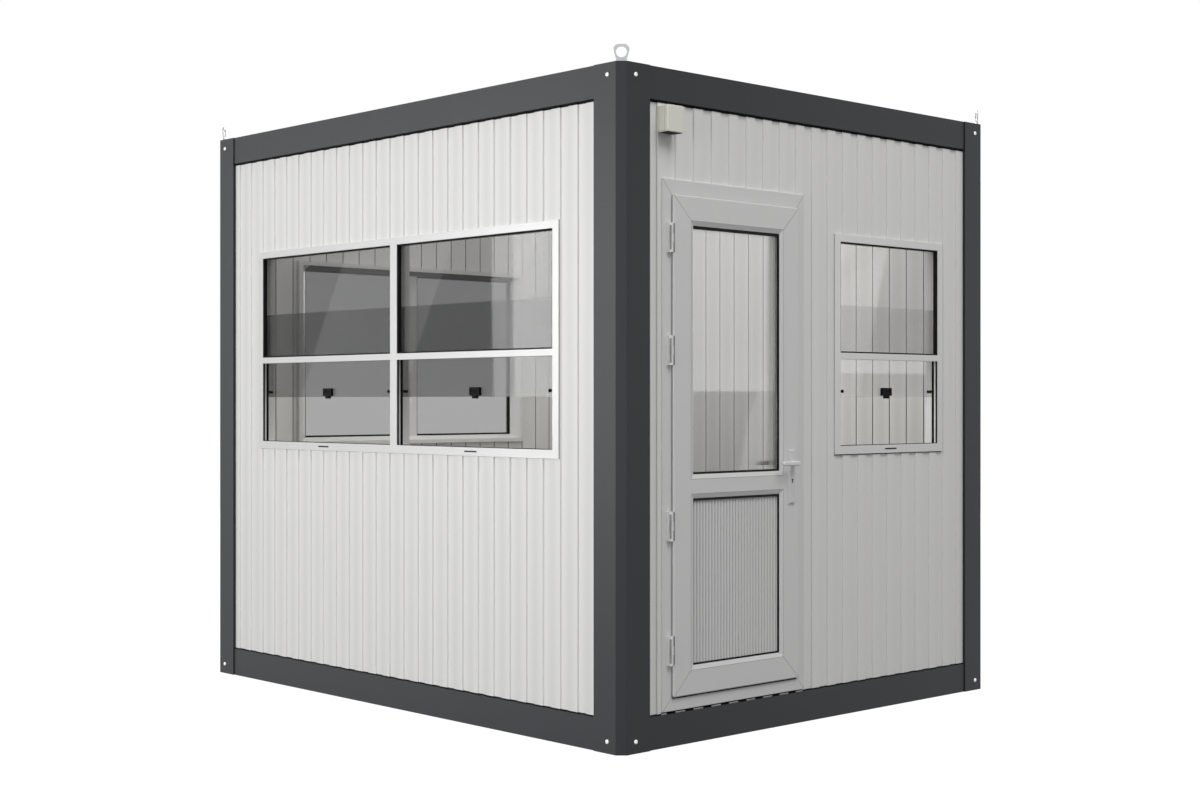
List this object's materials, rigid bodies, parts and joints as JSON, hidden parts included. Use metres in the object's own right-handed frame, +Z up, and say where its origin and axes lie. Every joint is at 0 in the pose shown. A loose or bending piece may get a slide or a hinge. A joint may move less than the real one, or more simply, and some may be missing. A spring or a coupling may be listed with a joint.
{
  "type": "security guard booth",
  "caption": "Prefabricated guard cabin with ribbed sandwich-panel walls in a dark steel corner frame, an outward-opening glazed door and lift-up service windows",
  "frame": {"origin": "centre of the cabin's base, on the ground", "axes": "+Z up; the door wall faces -Y; the wide window wall faces -X"},
  "size_m": [2.3, 2.8938, 2.64],
  "materials": {
    "frame_paint": "satin slate grey coating",
    "galvanised": "galvanised, dull",
    "floor_finish": "sheet flooring",
    "roof_sheet": "coated sheet",
    "panel_white": "coated sheet, satin",
    "window_white": "white, smooth",
    "glass": "clear",
    "black_plastic": "black, moulded",
    "door_white": "white, smooth",
    "hinge_white": "white coated",
    "handle_white": "white coated",
    "box_cream": "cream, moulded"
  },
  "bodies": {
    "cabin": {"corner_posts": "frame_paint", "top_rails": "frame_paint", "bottom_rails": "frame_paint", "lifting_eyes": "galvanised", "floor": "floor_finish", "roof": "roof_sheet", "front_panel_hinge_side": "panel_white", "front_panel_over_door": "panel_white", "front_panel_under_door": "panel_white", "front_panel_middle": "panel_white", "front_panel_over_window": "panel_white", "front_panel_under_window": "panel_white", "front_panel_far": "panel_white", "left_panel_near": "panel_white", "left_panel_far": "panel_white", "left_panel_over": "panel_white", "left_panel_under": "panel_white", "back_panel_near": "panel_white", "back_panel_far": "panel_white", "back_panel_over": "panel_white", "back_panel_under": "panel_white", "right_panel": "panel_white", "left_window_frame": "window_white", "front_window_frame": "window_white", "back_window_frame": "window_white", "left_window_fixed_panes": "glass", "left_window_sliding_panes": "glass", "front_window_fixed_pane": "glass", "front_window_sliding_pane": "glass", "back_window_fixed_panes": "glass", "window_pulls": "black_plastic", "door_frame": "door_white", "hinge_frame_halves": "hinge_white", "junction_box": "box_cream"},
    "door_leaf": {"door_sash": "door_white", "door_glass": "glass", "door_fluted_panel": "door_white", "hinge_leaf_halves": "hinge_white", "handle_plates": "handle_white"},
    "door_lever": {"lever_handle": "handle_white"}
  },
  "joints": [
    {"name": "door_swing", "type": "hinge", "parent": "cabin", "child": "door_leaf", "pos_m": [-0.893, -1.427, 1], "axis": [0, 0, -1], "range_deg": [0, 100]},
    {"name": "lever_turn", "type": "hinge", "parent": "door_leaf", "child": "door_lever", "pos_m": [-0.204, -1.42, 1.062], "axis": [0, -1, 0], "range_deg": [0, 40], "stiffness_Nm_per_rad": 1.5, "springref_deg": -34.38}
  ]
}
